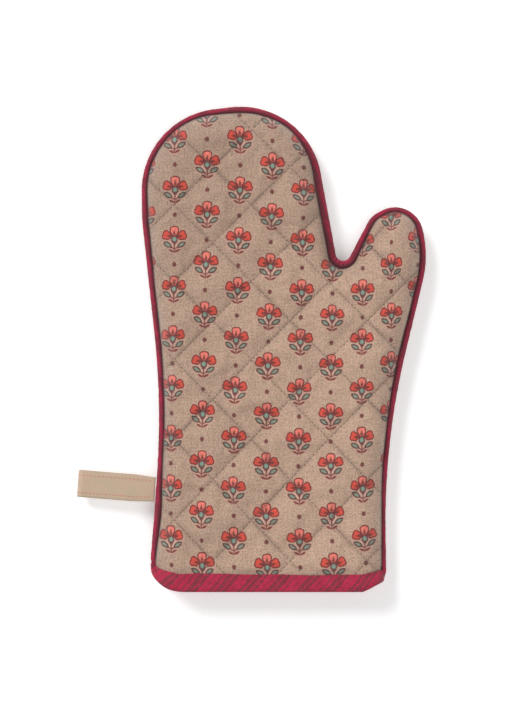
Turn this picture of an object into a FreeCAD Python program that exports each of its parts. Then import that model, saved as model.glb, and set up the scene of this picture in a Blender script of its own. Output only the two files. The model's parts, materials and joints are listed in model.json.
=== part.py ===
import FreeCAD, Part

# A quilted cloth oven mitt with one thumb, lying flat with its palm side up.
#
# Two quilted panels, palm and back, are joined round the edge with a flat piping between them. Each panel
# is three layers: printed outer cloth, wadding and lining. A wide bias binding is folded round the mouth,
# over the ends of all the layers, and a folded tape sewn into the little-finger seam is the hanging loop.
# Cloth is cut here only where the hand bends it: the fingers fold over the palm, and so does the thumb.
#
# +Z is up, +Y runs from the mouth to the fingertips and the thumb points towards +X. Sizes are in mm.
# The sizes below are measured from the middle of the mouth, at the height of the surface it lies on;
# the finished pieces are then moved so that the origin is under the middle of the whole mitt.

import math
import os

Vector = FreeCAD.Vector

# Outline: outer edge of the piping. Each corner is rounded by its radius.
cuff_width = 156.0
waist_left = 68.9
waist_height = 122.8
waist_radius = 520.0
knuckle_left = 82.2
knuckle_height = 244.3
knuckle_radius = 97.0
fingertip_left = 82.8
fingertip_left_height = 311.1
fingertip_right = 25.9
fingertip_right_height = 324.4
fingertip_radius = 53.6
crotch_right = 47.5
crotch_height = 207.1
crotch_radius = 5.2
wrist_right = 76.4
wrist_height = 98.1
wrist_radius = 474.0

# The thumb's corners, measured outwards and upwards from the crotch.
thumb_inner_out = 21.3
thumb_inner_up = 39.9
thumb_inner_radius = 16.5
thumb_tip_out = 48.7
thumb_tip_up = 53.2
thumb_tip_radius = 18.2
thumb_outer_out = 58.5
thumb_outer_up = 14.3
thumb_outer_radius = 69.4

# Thickness of the mitt and of its layers. Each panel slopes down to the seam. The side room keeps the
# hollow, whose sides are upright, clear of that slope.
mitt_thickness = 24.0
edge_slope = 5.5
side_room = 1.2
outer_cloth = 0.8
wadding = 4.6
lining = 0.6

# Quilting of the palm, which puffs up between the stitched lines. Each line is a groove that runs slantwise
# through crossings half a diamond apart, which lie a little closer together towards the fingertips. The back,
# which the mitt lies on, is pressed flat.
quilting_middle_left = 9.9
quilting_middle_height = 152.2
diamond_half_width = 25.3
diamond_half_height = 25.8
diamond_narrowing = 0.11
quilting_reach = 3
quilting_rows = 10
groove_width = 10.0
groove_depth = 1.4

# Piping: a flat strip folded in two lengthwise. Its fold shows and its two edges are caught in the seam.
piping_width = 3.4
piping_thickness = 1.6
piping_end_gap = 0.1

# Binding round the mouth.
binding_width = 11.5
binding_cloth = 0.9
mouth_corner_radius = 10.5

# Hanging loop: one tape folded in two, its ends caught in the little-finger seam.
loop_height = 67.0
loop_length = 51.5
loop_width = 17.5
loop_tape = 0.9
loop_fold_gap = 6.0
loop_droop_degrees = 6.0

# Where the hand bends the cloth, and the room between pieces that move apart.
finger_fold_above_crotch = 35.0
thumb_fold_beyond_crotch = 15.0
thumb_fold_degrees = 30.5
moving_gap = 0.3

# Construction lengths that only have to be large enough.
mouth_overrun = 40.0
far = 600.0

wall = outer_cloth + wadding + lining
seam_height = mitt_thickness / 2


def straight(start, end):
    """A line as a list of one edge, or an empty list where two arcs meet and leave no room for a line."""
    return [Part.LineSegment(start, end).toShape()] if start.distanceToPoint(end) > 0.001 else []


def rounded_path(corners):
    """Lines and tangent arcs through corners, each (x, y, radius). The first and last are plain ends.

    Where two arcs would need more than the whole side between them, both get smaller.
    """
    tips = [Vector(x, y, 0) for x, y, _ in corners]
    sides = [b - a for a, b in zip(tips, tips[1:])]
    ways = [Vector(side).normalize() for side in sides]
    half_turns = [a.getAngle(b) / 2 for a, b in zip(ways, ways[1:])]
    wanted = [0] + [corner[2] * math.tan(turn) for corner, turn in zip(corners[1:], half_turns)] + [0]
    share = [min(1, side.Length / (a + b)) for side, a, b in zip(sides, wanted, wanted[1:])]
    edges = []
    start = tips[0]
    for i, half_turn in enumerate(half_turns, 1):
        reach = wanted[i] * min(share[i - 1], share[i])
        bulge = reach / math.tan(half_turn) * (1 / math.cos(half_turn) - 1)
        entry = tips[i] - ways[i - 1] * reach
        middle = tips[i] + (ways[i] - ways[i - 1]).normalize() * bulge
        leave = tips[i] + ways[i] * reach
        edges += straight(start, entry) + [Part.Arc(entry, middle, leave).toShape()]
        start = leave
    return edges + straight(start, tips[-1])


def below_mouth(near_half_width, far_half_width, far_height):
    """Half width that a straight side reaches at the overrun below the mouth."""
    slope = (near_half_width - far_half_width) / far_height
    return near_half_width + slope * mouth_overrun


def from_crotch(out, up, radius):
    """A corner of the thumb's outline, that far out from the crotch and up from it."""
    return (crotch_right + out, crotch_height + up, radius)


def outline_corners():
    """Corners of the mitt's outline from the little-finger side of the mouth round to the thumb side."""
    return [
        (-below_mouth(cuff_width / 2, waist_left, waist_height), -mouth_overrun, 0),
        (-waist_left, waist_height, waist_radius),
        (-knuckle_left, knuckle_height, knuckle_radius),
        (-fingertip_left, fingertip_left_height, fingertip_radius),
        (fingertip_right, fingertip_right_height, fingertip_radius),
        (crotch_right, crotch_height, crotch_radius),
        from_crotch(thumb_inner_out, thumb_inner_up, thumb_inner_radius),
        from_crotch(thumb_tip_out, thumb_tip_up, thumb_tip_radius),
        from_crotch(thumb_outer_out, thumb_outer_up, thumb_outer_radius),
        (wrist_right, wrist_height, wrist_radius),
        (below_mouth(cuff_width / 2, wrist_right, wrist_height), -mouth_overrun, 0),
    ]


def outline_face(inset):
    """The flat shape inside the outline, drawn in by inset, with its overrun below the mouth."""
    edges = rounded_path(outline_corners())
    closing = Part.LineSegment(edges[-1].Vertexes[-1].Point, edges[0].Vertexes[0].Point).toShape()
    face = Part.Face(Part.Wire(edges + [closing]))
    return face.makeOffset2D(-inset) if inset else face


def is_closing_edge(edge, bottom):
    """True for the straight edge that closes the outline below the mouth."""
    return edge.BoundBox.YMax < bottom + 0.001


def plate(inset, thickness):
    """The shape inside the outline, drawn in by inset and as thick as that, centred on the seam."""
    block = outline_face(inset).extrude(Vector(0, 0, thickness))
    block.translate(Vector(0, 0, seam_height - thickness / 2))
    return block


def level_edges(block):
    """The edges round a block's top and bottom, apart from those below the mouth."""
    bottom = block.BoundBox.YMin
    return [e for e in block.Edges if e.BoundBox.ZLength < 0.001 and not is_closing_edge(e, bottom)]


def hollow(depth):
    """The square-edged space left inside the mitt by a wall that deep, and deeper at its sides."""
    return plate(piping_width + depth + side_room, mitt_thickness - 2 * depth)


def under_cloth(cloth):
    """What lies under that thickness of cloth, with sides that slope down to the seam.

    The slope stays the same under any cloth. It leaves an upright edge just as high as the piping.
    """
    block = plate(piping_width + cloth, mitt_thickness - 2 * cloth)
    side = seam_height - cloth - piping_thickness / 2
    whole_side = seam_height - piping_thickness / 2
    return block.makeChamfer(side, edge_slope * side / whole_side, level_edges(block))


def cushion():
    """The whole mitt as a solid up to the surface of its outer cloth."""
    return under_cloth(0)


def quilting_crossing(across, up):
    """A place on the palm, so many half diamonds across and up from the quilting's middle crossing."""
    y = quilting_middle_height + up * diamond_half_height - up * up * diamond_narrowing
    return Vector(across * diamond_half_width - quilting_middle_left, y, mitt_thickness)


def quilting_groove(row, slant):
    """A prism that cuts one groove right across the palm, rising or falling by slant at each crossing."""
    start = quilting_crossing(-quilting_reach, row - slant * quilting_reach)
    end = quilting_crossing(quilting_reach, row + slant * quilting_reach)
    along = end - start
    aside = Vector(-along.y, along.x, 0).normalize() * groove_width
    rise = Vector(0, 0, groove_depth)
    first = start - along
    corners = [first - aside + rise, first - rise, first + aside + rise]
    edges = [Part.LineSegment(a, b).toShape() for a, b in zip(corners, corners[1:] + corners[:1])]
    return Part.Face(Part.Wire(edges)).extrude(end + along - first)


def quilted(block, cloth):
    """The block with the quilting's grooves in its palm side, as they are under that thickness of cloth.

    They lie between the binding, which presses the layers flat, and the folds of the fingers and thumb.
    """
    rows = range(-quilting_rows, quilting_rows + 1, 2)
    grooves = [quilting_groove(row, slant) for slant in (1, -1) for row in rows]
    hand = slab(binding_width + outer_cloth, finger_fold()).cut(thumb_region(0))
    cutters = [groove.common(hand) for groove in grooves]
    cutters = [cutter for cutter in cutters if cutter.Solids]
    for cutter in cutters:
        cutter.translate(Vector(0, 0, -cloth))
    return block.cut(cutters)


def slab(y_low, y_high):
    """Everything between two distances from the mouth."""
    return Part.makeBox(2 * far, y_high - y_low, 2 * far, Vector(-far, y_low, -far))


def mouth_waste(lift):
    """Everything in front of the mouth's edge, with its rounded corners, moved inwards by lift."""
    radius = mouth_corner_radius - lift
    centre_x = cuff_width / 2 - mouth_corner_radius
    centre_y = mouth_corner_radius
    diagonal = radius * math.sqrt(0.5)
    side = Vector(centre_x + radius, centre_y, 0)
    corner = Vector(centre_x + diagonal, centre_y - diagonal, 0)
    front = Vector(centre_x, centre_y - radius, 0)

    def mirrored(point):
        return Vector(-point.x, point.y, 0)

    outside = [
        mirrored(side),
        Vector(-far, centre_y, 0),
        Vector(-far, -far, 0),
        Vector(far, -far, 0),
        Vector(far, centre_y, 0),
        side,
    ]
    edges = [Part.LineSegment(a, b).toShape() for a, b in zip(outside, outside[1:])]
    edges.append(Part.Arc(side, corner, front).toShape())
    edges.append(Part.LineSegment(front, mirrored(front)).toShape())
    edges.append(Part.Arc(mirrored(front), mirrored(corner), mirrored(side)).toShape())
    waste = Part.Face(Part.Wire(edges)).extrude(Vector(0, 0, 2 * far))
    waste.translate(Vector(0, 0, -far))
    return waste


def whole_wall():
    """All the layers and the binding together."""
    return quilted(cushion(), 0).cut([hollow(wall), mouth_waste(0)])


def make_binding():
    """Bias strip folded over the edge of the mouth: outer leg, fold and inner leg."""
    held = under_cloth(binding_cloth).cut([hollow(wall - binding_cloth), mouth_waste(binding_cloth)])
    return whole_wall().cut(held).common(slab(-far, binding_width))


def make_outer_cloth():
    """Outer cloth that steps in under the binding's outer leg."""
    under_depth = binding_cloth + outer_cloth
    surface, back = quilted(cushion(), 0), quilted(under_cloth(outer_cloth), outer_cloth)
    back_under = under_cloth(under_depth)
    above = surface.cut(back).common(slab(binding_width, far))
    step = surface.cut(back_under).common(slab(binding_width, binding_width + outer_cloth))
    under = under_cloth(binding_cloth).cut(back_under).common(slab(-far, binding_width))
    return above.fuse([step, under]).cut(mouth_waste(binding_cloth)).removeSplitter()


def make_lining():
    """Lining that steps in under the binding's inner leg."""
    under_depth = wall - binding_cloth
    surface, back, back_under = hollow(wall), hollow(wall - lining), hollow(under_depth - lining)
    above = back.cut(surface).common(slab(binding_width, far))
    step = back_under.cut(surface).common(slab(binding_width, binding_width + lining))
    under = back_under.cut(hollow(under_depth)).common(slab(-far, binding_width))
    return above.fuse([step, under]).cut(mouth_waste(binding_cloth)).removeSplitter()


def make_layers(binding):
    """Outer cloth, wadding and lining, each still in one piece. Wadding fills what the others leave."""
    outer = make_outer_cloth()
    inner = make_lining()
    filling = whole_wall().cut([binding, outer, inner])
    return {"outer_cloth": outer, "wadding": filling, "lining": inner}


def half_of(layer, side):
    """The palm or the back half of a layer, clear of the piping's edges in the seam."""
    low = seam_height + piping_thickness / 2
    origin_z = low if side == "palm" else 2 * seam_height - low - far
    return layer.common(Part.makeBox(2 * far, 2 * far, far, Vector(-far, -far, origin_z)))


def make_piping():
    """Folded strip round the seam, from the fold that shows to the edges that are caught in the seam."""
    strip = plate(0, piping_thickness).cut(plate(piping_width + wall, piping_thickness))
    return strip.common(slab(binding_width + piping_end_gap, far))


def side_frame(height):
    """A point on the little-finger seam at that height, and the level direction straight out of it."""
    along = Vector(cuff_width / 2 - waist_left, waist_height, 0).normalize()
    point = Vector(-cuff_width / 2, 0, 0) + along * (height / along.y)
    return point, Vector(-along.y, along.x, 0)


def loop_pivot():
    """Distance from the seam to the line about which the loop swings, in the middle of its sewn end."""
    return moving_gap + loop_tape


def make_loop():
    """One tape folded in two: both layers leave the seam together and part towards the fold."""
    fold_radius = loop_fold_gap / 2 + loop_tape
    fold_at = loop_length - loop_pivot() - fold_radius

    def tapered_face(start_radius, end_radius):
        """A flat shape from a round start at the pivot to a round end at the fold, with tangent sides."""
        lean = math.asin((end_radius - start_radius) / fold_at)
        across = Vector(-math.sin(lean), math.cos(lean), 0)
        below = Vector(across.x, -across.y, 0)
        start, end = Vector(0, 0, 0), Vector(fold_at, 0, 0)
        points = [start + across * start_radius, end + across * end_radius]
        mirrored_points = [start + below * start_radius, end + below * end_radius]
        edges = straight(*points) + straight(*mirrored_points)
        edges.append(Part.Arc(points[1], end + Vector(end_radius, 0, 0), mirrored_points[1]).toShape())
        if start_radius:
            back = start - Vector(start_radius, 0, 0)
            edges.append(Part.Arc(points[0], back, mirrored_points[0]).toShape())
        return Part.Face(Part.Wire(Part.__sortEdges__(edges)))

    band = tapered_face(loop_tape, fold_radius).cut(tapered_face(0, fold_radius - loop_tape))
    loop = band.extrude(Vector(0, 0, loop_width))
    loop.translate(Vector(0, 0, -loop_width / 2))
    loop.rotate(Vector(0, 0, 0), Vector(0, 0, 1), -loop_droop_degrees)
    point, out = side_frame(loop_height)
    up = Vector(0, 0, 1)
    pivot = point + out * loop_pivot() + up * seam_height
    upright = FreeCAD.Rotation(out, up, out.cross(up), "XYZ")
    loop.Placement = FreeCAD.Placement(pivot, upright) * loop.Placement
    return loop


def thumb_frame():
    """A point on the thumb's fold, the fold's direction and the level direction towards the thumb's tip."""
    turn = math.radians(thumb_fold_degrees)
    towards = Vector(math.cos(turn), math.sin(turn), 0)
    along = Vector(towards.y, -towards.x, 0)
    point = Vector(crotch_right, crotch_height, 0) + towards * thumb_fold_beyond_crotch
    return point, along, towards


def finger_fold():
    """Distance from the mouth to the fold of the fingers."""
    return crotch_height + finger_fold_above_crotch


def finger_region(shrink):
    """The finger pocket beyond its fold, up to the gap beside the thumb."""
    low = finger_fold() + shrink
    right = crotch_right + thumb_inner_out / 2
    return Part.makeBox(far + right, far, 2 * far, Vector(-far, low, -far))


def thumb_region(shrink):
    """The thumb pocket beyond its fold, up to the gap beside the fingers."""
    point, along, towards = thumb_frame()
    corner = point + towards * shrink - along * far
    width, reach = along * 2 * far, towards * far
    strip = [corner, corner + width, corner + width + reach, corner + reach]
    edges = [Part.LineSegment(a, b).toShape() for a, b in zip(strip, strip[1:] + strip[:1])]
    block = Part.Face(Part.Wire(edges)).extrude(Vector(0, 0, 2 * far))
    block.translate(Vector(0, 0, -far))
    left = crotch_right
    return block.common(Part.makeBox(far, 2 * far, 2 * far, Vector(left, -far, -far)))


def split_at_folds(shape):
    """The parts of a piece that stay with the hand, turn with the fingers and turn with the thumb."""
    apart = moving_gap / 2
    return {
        "hand": shape.cut([finger_region(-apart), thumb_region(-apart)]),
        "fingers": shape.common(finger_region(apart)),
        "thumb": shape.common(thumb_region(apart)),
    }


def make_pieces():
    """Every piece by its name."""
    binding = make_binding()
    pieces = {"cuff_binding": binding, "hanging_loop": make_loop()}
    for layer_name, layer in make_layers(binding).items():
        for side in ("palm", "back"):
            for region, part in split_at_folds(half_of(layer, side)).items():
                pieces[f"{region}_{side}_{layer_name}"] = part
    for region, part in split_at_folds(make_piping()).items():
        pieces[f"{region}_piping"] = part
    return pieces


def middle_underneath(pieces):
    """The point under the middle of all the pieces, on the surface that they lie on."""
    box = Part.makeCompound(list(pieces.values())).optimalBoundingBox(False, False)
    return Vector((box.XMin + box.XMax) / 2, (box.YMin + box.YMax) / 2, 0)


def main():
    pieces = make_pieces()
    origin = middle_underneath(pieces)
    os.makedirs("parts", exist_ok=True)
    for name, shape in pieces.items():
        solids = [s.copy() for s in shape.Solids]
        piece = solids[0] if len(solids) == 1 else Part.makeCompound(solids)
        piece.translate(-origin)
        piece.exportStep(f"parts/{name}.step")
        print(f"{name}: {len(solids)} solid(s), {piece.Volume / 1000:.2f} cm3, valid {piece.isValid()}")
    point, along, towards = thumb_frame()
    seam, out = side_frame(loop_height)
    print("origin moved by", origin)
    print("finger fold at", Vector(0, finger_fold(), mitt_thickness) - origin)
    print("thumb fold at", point + Vector(0, 0, mitt_thickness) - origin, "along", along)
    print("loop pivot at", seam + out * loop_pivot() + Vector(0, 0, seam_height) - origin, "out", out)


main()
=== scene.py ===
import json
import math

import bmesh
import bpy
import numpy as np
from mathutils import Matrix, Vector, noise
from mathutils.bvhtree import BVHTree
from mathutils.kdtree import KDTree


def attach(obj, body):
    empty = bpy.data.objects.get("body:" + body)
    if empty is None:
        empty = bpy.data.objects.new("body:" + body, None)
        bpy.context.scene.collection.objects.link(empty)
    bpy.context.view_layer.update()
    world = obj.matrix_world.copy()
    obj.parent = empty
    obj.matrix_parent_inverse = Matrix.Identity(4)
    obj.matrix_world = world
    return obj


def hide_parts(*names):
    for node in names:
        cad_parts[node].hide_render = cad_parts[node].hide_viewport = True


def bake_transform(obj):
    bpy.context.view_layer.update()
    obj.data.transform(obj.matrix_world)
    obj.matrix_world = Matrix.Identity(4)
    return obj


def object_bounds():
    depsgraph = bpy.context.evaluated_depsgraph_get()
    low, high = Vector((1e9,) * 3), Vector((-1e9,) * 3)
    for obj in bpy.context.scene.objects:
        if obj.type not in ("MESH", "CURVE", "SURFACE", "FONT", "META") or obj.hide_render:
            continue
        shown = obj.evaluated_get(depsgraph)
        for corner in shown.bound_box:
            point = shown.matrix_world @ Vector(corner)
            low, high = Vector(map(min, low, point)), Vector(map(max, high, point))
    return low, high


# A quilted linen oven mitt that lies flat with its palm up. Lengths are in metres: those that a maker would
# give in millimetres are written as a number of mm.
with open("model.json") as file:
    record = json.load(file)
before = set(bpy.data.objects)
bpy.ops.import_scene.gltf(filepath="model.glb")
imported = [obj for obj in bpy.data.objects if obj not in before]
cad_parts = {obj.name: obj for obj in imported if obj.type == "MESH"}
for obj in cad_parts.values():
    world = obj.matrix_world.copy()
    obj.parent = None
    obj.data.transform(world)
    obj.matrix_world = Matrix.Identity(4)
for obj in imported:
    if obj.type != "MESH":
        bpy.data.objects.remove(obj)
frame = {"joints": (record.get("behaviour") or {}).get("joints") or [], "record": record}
cad_low, cad_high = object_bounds()
mm = 0.001


# ---- The table and the light ----
# The mitt lies on a plain pale table top and is seen from straight above. A wide soft skylight hangs over
# it, a window to the upper left casts its short shadow, and the bright room fills the rest.

white = (1, 1, 1, 1)
table_glow = 0.23
table_half_width = 3.0
table_drop = 0.3 * mm
room_strength = 0.25
view_centre = Vector((4.2 * mm, -5.1 * mm, 12 * mm))
view_height = 470.1 * mm
camera_distance = 1.9


def srgb(red, green, blue):
    """A colour of 0 to 255 a channel, as the shaders want it."""
    parts = [part / 255 for part in (red, green, blue)]
    return tuple(p / 12.92 if p <= 0.04045 else ((p + 0.055) / 1.055) ** 2.4 for p in parts) + (1.0,)


def maths(operation, reflected=False):
    """A method of Shade that adds a Math node of that operation."""
    if reflected:
        return lambda self, other: self.math(operation, other, self)
    return lambda self, *others: self.math(operation, self, *others)


class Shade:
    """One output of a material's nodes. It adds, multiplies and compares as a number does."""

    def __init__(self, tree, socket=None):
        self.tree = tree
        self.socket = socket

    def node(self, kind, values, output=0, **settings):
        """A new node. Its settings come first, then its sockets' values or links."""
        made = self.tree.nodes.new("ShaderNode" + kind)
        for name, setting in settings.items():
            setattr(made, name, setting)
        for key, value in values.items():
            if isinstance(value, Shade):
                self.tree.links.new(value.socket, made.inputs[key])
            else:
                made.inputs[key].default_value = value
        return Shade(self.tree, made.outputs[output])

    def math(self, operation, *values):
        return self.node("Math", dict(enumerate(values)), operation=operation)

    __add__ = __radd__ = maths("ADD")
    __sub__, __rsub__ = maths("SUBTRACT"), maths("SUBTRACT", reflected=True)
    __mul__ = __rmul__ = maths("MULTIPLY")
    __truediv__, __rtruediv__ = maths("DIVIDE"), maths("DIVIDE", reflected=True)
    least, most, size, root = maths("MINIMUM"), maths("MAXIMUM"), maths("ABSOLUTE"), maths("SQRT")

    def past_whole(self):
        """How far it is past the nearest whole number."""
        return self - self.math("ROUND", self)

    def wave(self, turns):
        """A sine of it, with that many whole waves for each 1."""
        return self.math("SINE", self * (2 * math.pi * turns))

    def fade(self, start, end):
        """From 0 at start to 1 at end, gently at both ends."""
        values = {"Value": self, "From Min": start, "From Max": end}
        return self.node("MapRange", values, interpolation_type="SMOOTHSTEP")

    def grain(self, across, along, detail=2.0, rough=0.55, shift=0.0):
        """Soft noise from 0 to 1, with that many cells for each 1 across and along."""
        cells = {"Vector": self, "Location": (shift, shift, 0), "Scale": (across, along, 1)}
        values = {"Vector": self.node("Mapping", cells), "Scale": 1.0, "Detail": detail, "Roughness": rough}
        return self.node("TexNoise", values, noise_dimensions="2D")

    def over(self, below, ink):
        """This mask's ink laid over the colour below."""
        return self.node("Mix", {0: self, 6: below, 7: ink}, output=2, data_type="RGBA")

    def tint(self, colour):
        """That colour made lighter or darker by this value."""
        value = colour if isinstance(colour, Shade) else colour[:3]
        return self.node("VectorMath", {0: value, "Scale": self}, operation="SCALE")

    def coordinates(self):
        """The x and the y of this place."""
        return [self.node("SeparateXYZ", {0: self}, output=axis) for axis in ("X", "Y")]


def socket_of(shader, name):
    """The shader's socket of that name, such as base_color."""
    return shader.inputs[name.replace("_", " ").title()]


def finish(name, **constants):
    """A new material, its first Shade, and its shader with those constants."""
    made = bpy.data.materials.new(name)
    made.use_nodes = True
    shader = made.node_tree.nodes["Principled BSDF"]
    for key, value in constants.items():
        socket_of(shader, key).default_value = value
    return made, Shade(made.node_tree), shader


def connect(shader, **links):
    """Joins each Shade to the shader's socket of that name."""
    for key, shade in links.items():
        shade.tree.links.new(shade.socket, socket_of(shader, key))


def shown(data, name):
    """A new object that shows that mesh, lamp or camera."""
    made = bpy.data.objects.new(name, data)
    bpy.context.scene.collection.objects.link(made)
    return made


def mesh_of(bm, name):
    """The bmesh made a mesh, and freed."""
    mesh = bpy.data.meshes.new(name)
    bm.to_mesh(mesh)
    bm.free()
    return mesh


table_bm = bmesh.new()
bmesh.ops.create_grid(table_bm, x_segments=1, y_segments=1, size=table_half_width)
table_top = shown(mesh_of(table_bm, "table_top"), "table_top")
table_top.location.z = cad_low.z - table_drop
table_finish, _, _ = finish(
    "table_finish", base_color=srgb(251, 251, 251), roughness=0.9, emission_color=white,
    emission_strength=table_glow,
)
table_top.data.materials.append(table_finish)

for name, strength, spread, place in (
    ("window", 2.2, 28, (-0.60, 0.66, 0.68)),
    ("skylight", 1.2, 60, (0.28, -0.30, 0.90)),
):
    lamp_data = bpy.data.lights.new(name, "SUN")
    lamp_data.energy = strength
    lamp_data.angle = math.radians(spread)
    shown(lamp_data, name).rotation_euler = Vector(place).to_track_quat("Z", "Y").to_euler()

room = bpy.data.worlds.new("room")
room.use_nodes = True
room_shade = Shade(room.node_tree)
to_camera, in_gloss, through_glass = (
    room_shade.node("LightPath", {}, output=f"Is {kind} Ray")
    for kind in ("Camera", "Glossy", "Transmission")
)
seen = to_camera.most(in_gloss).most(through_glass)
backdrop = room.node_tree.nodes["Background"]
backdrop.inputs["Color"].default_value = white
connect(backdrop, strength=room_strength + seen * (1 - room_strength))
bpy.context.scene.world = room
bpy.context.scene.view_settings.view_transform = "Standard"

camera_data = bpy.data.cameras.new("camera")
camera_data.lens = camera_data.sensor_width * camera_distance / view_height
camera = shown(camera_data, "camera")
camera.location = view_centre + Vector((0, 0, camera_distance))
bpy.context.scene.camera = camera


# ---- The quilted panels ----
# The palm and the back are one pattern cut twice from ready-quilted linen: printed cloth over cotton
# wadding, sewn through in 36 mm diamonds. The layers puff up between the stitched lines and are squeezed
# thin at the seam. Where the hand bends the mitt, each panel is cut into parts for the hand, the fingers
# and the thumb.

mounts = {mount["name"]: mount for mount in frame["record"]["mounts"]}
joints = {joint["name"]: joint for joint in frame["joints"]}
mouth = Vector(mounts["hand_opening"]["pos_m"])
seam_height = mouth.z

# Each corner of the outline: across and up from the middle of the mouth, and its radius.
crotch_corner = (47.5, 207.1, 5.2)
outline_corners = [
    (-81.0, -40.0, 0), (-68.9, 122.8, 520), (-82.2, 244.3, 97), (-82.8, 311.1, 53.6), (25.9, 324.4, 53.6),
    crotch_corner, (68.8, 247.0, 16.5), (96.2, 260.3, 18.2), (106.0, 221.4, 69.4), (76.4, 98.1, 474),
    (78.6, -40.0, 0),
]
outline_step = 0.5 * mm
binding_width = 11.5 * mm
left_corner_run, left_corner_rise = 22 * mm, 13 * mm
right_corner_run, right_corner_rise = 13.7 * mm, 5.6 * mm
right_corner_curve = 1.1
mouth_half_width = 75.9 * mm


def rounded_line(corners, step):
    """Points and outward directions, a step apart, along lines and tangent arcs."""
    tips = [mouth.xy + Vector((x, y)) * mm for x, y, _ in corners]
    sides = [b - a for a, b in zip(tips, tips[1:])]
    turns = [math.atan2(a.cross(b), a.dot(b)) for a, b in zip(sides, sides[1:])]
    wanted = [0] + [c[2] * mm * math.tan(abs(t) / 2) for c, t in zip(corners[1:], turns)] + [0]
    share = [min(1, side.length / (a + b)) for side, a, b in zip(sides, wanted, wanted[1:])]
    points, outs = [], []

    def add(point, heading):
        points.append(point)
        outs.append(Vector((-math.sin(heading), math.cos(heading))))

    def add_run(end, more=0):
        count = max(1, round((end - start).length / step))
        for k in range(count + more):
            add(start.lerp(end, k / count), heading)

    start = tips[0]
    for i, turn in enumerate(turns, 1):
        way = sides[i - 1].normalized()
        heading = math.atan2(sides[i - 1].y, sides[i - 1].x)
        reach = wanted[i] * min(share[i - 1], share[i])
        radius = reach / math.tan(turn / 2)
        entry = tips[i] - way * reach
        add_run(entry)
        centre = entry + Vector((-way.y, way.x)) * radius
        count = max(4, round(radius * turn / step))
        for k in range(count):
            angle = heading + turn * k / count
            add(centre - Vector((-math.sin(angle), math.cos(angle))) * radius, angle)
        start = tips[i] + sides[i].normalized() * reach
    heading = math.atan2(sides[-1].y, sides[-1].x)
    add_run(tips[-1], 1)
    return points, outs


outline, outwards = rounded_line(outline_corners, outline_step)
outline_tree = KDTree(len(outline))
for number, point in enumerate(outline):
    outline_tree.insert((point.x, point.y, 0), number)
outline_tree.balance()


def eased(value, start, end):
    """From 0 at start to 1 at end, gently at both ends."""
    t = min(1, max(0, (value - start) / (end - start)))
    return t * t * (3 - 2 * t)


# The piping stands out of the seam all round, wider beside the thumb and in the crotch than elsewhere. It
# swells or narrows at a few places: across, up, how wide the place is and what is added, in mm.
crotch = mouth + Vector((crotch_corner[0], crotch_corner[1], 0)) * mm
piping_narrow, piping_wide = 3.0 * mm, 4.9 * mm
wide_until, narrow_from = 60 * mm, 130 * mm
thumb_root_width = 14 * mm
widening_start, widening_end = 45 * mm, 5 * mm
gathered_reach = 12 * mm
piping_lumps, lumps_per_metre = 0.35 * mm, 35
piping_overlap = 0.5 * mm
piping_swells = [
    (94.9, 91.8, 16, -0.9), (-6, 158, 28, 0.8), (-71, 75, 42, 0.6), (-63, 0, 40, 0.4), (-62, -106, 20, 1.2),
    (82, -118, 26, -0.8),
]


def piping_width_at(point):
    """How far the piping stands out of the seam there."""
    reach = (point - crotch.xy).length
    by_thumb = 1 - eased(reach, wide_until, narrow_from)
    by_thumb *= 1 - 0.65 * eased(point.x, crotch.x, crotch.x + thumb_root_width)
    on_right = eased(point.x, crotch.x - widening_start, crotch.x - widening_end)
    on_right += 0.5 * (1 - eased(reach, 0, gathered_reach))
    lumpy = noise.noise(Vector((point.x * lumps_per_metre, point.y * lumps_per_metre, 2.0))) * piping_lumps
    for x, y, spread, more in piping_swells:
        lumpy += more * mm * math.exp(-((point - Vector((x, y)) * mm).length / (spread * mm)) ** 2)
    return piping_narrow + (piping_wide - piping_narrow) * by_thumb * on_right + lumpy


seam_insets = [piping_width_at(point) - piping_overlap for point in outline]


def from_seam(x, y):
    """How far a place lies inside the seam, and how far along the outline it is."""
    _, number, distance = outline_tree.find((x, y, 0))
    return distance - seam_insets[number], number * outline_step


def mouth_edge(x):
    """The height of the mouth's edge: curved up at its left, cut off at its right."""
    on_left = x < mouth.x
    run = left_corner_run if on_left else right_corner_run
    into = min(1, max(0, (abs(x - mouth.x) - mouth_half_width + run) / run))
    if on_left:
        return mouth.y + left_corner_rise * (1 - math.sqrt(1 - into ** 2))
    return mouth.y + right_corner_rise * into ** right_corner_curve


# The quilting's lattice: its lines cross where both counts are whole and add up to an even number.
diamond_width = 25.3 * mm
diamond_height = 25.79 * mm
diamond_stretch = 0.11 * mm
lattice_up = -7.1 * mm
steps_per_diamond = 16


def lattice_of(x, y):
    """Counts of half diamonds, which get a little longer towards the mouth."""
    rest = math.sqrt(diamond_height ** 2 - 4 * diamond_stretch * (y - lattice_up))
    return x / diamond_width, (diamond_height - rest) / (2 * diamond_stretch)


def place_of(i, j):
    """The place on the panel at those counts."""
    return i * diamond_width, lattice_up + diamond_height * j - diamond_stretch * j * j


# Where the panels pass from body to body.
finger_fold = Vector(joints["finger_fold"]["pos_m"])
thumb_fold = Vector(joints["thumb_pinch"]["pos_m"])
thumb_axis = Vector(joints["thumb_pinch"]["axis"])
finger_way, thumb_way = Vector((0, 1, 0)), Vector((-thumb_axis.y, thumb_axis.x, 0))
finger_bend, thumb_bend = 18 * mm, 12 * mm
finger_start, finger_end = finger_fold - finger_way * finger_bend, finger_fold + finger_way * finger_bend
thumb_start, thumb_end = thumb_fold - thumb_way * thumb_bend, thumb_fold + thumb_way * thumb_bend
between_pockets = crotch.x + 3 * mm
regions = ("hand", "fingers", "thumb")


def region_at(x, y):
    """The number of the region that a place belongs to."""
    if y > finger_start.y and x < between_pockets:
        return regions.index("fingers")
    beyond_thumb = (Vector((x, y, thumb_start.z)) - thumb_start).dot(thumb_way) > 0
    return regions.index("thumb") if beyond_thumb and x > crotch.x else regions.index("hand")


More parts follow.
